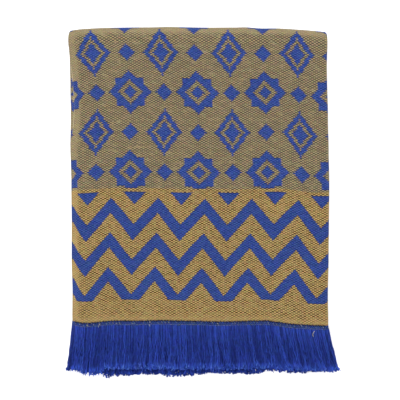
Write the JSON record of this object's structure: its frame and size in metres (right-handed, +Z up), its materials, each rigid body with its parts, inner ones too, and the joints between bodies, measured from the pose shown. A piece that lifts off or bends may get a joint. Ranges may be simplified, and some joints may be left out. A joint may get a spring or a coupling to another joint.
{
  "type": "folded peshtemal towel",
  "caption": "Jacquard-woven cotton hamam towel, folded into a flat rectangle with both fringed ends together at the bottom.",
  "frame": {"origin": "middle of the footprint of the folded towel with its fringes, on the surface it lies on", "axes": "+Z up out of the front face, +Y from the fringe towards the top fold, +X to the right of the front face"},
  "size_m": [0.264, 0.3416, 0.031],
  "materials": {
    "woven_cotton": "two-colour jacquard weave of ochre and blue cotton, matte",
    "fringe_yarn": "loose combed blue cotton yarn, soft sheen"
  },
  "bodies": {
    "root": {"towel_cloth": "woven_cotton", "fringe_front": "fringe_yarn", "fringe_under": "fringe_yarn"}
  },
  "joints": []
}
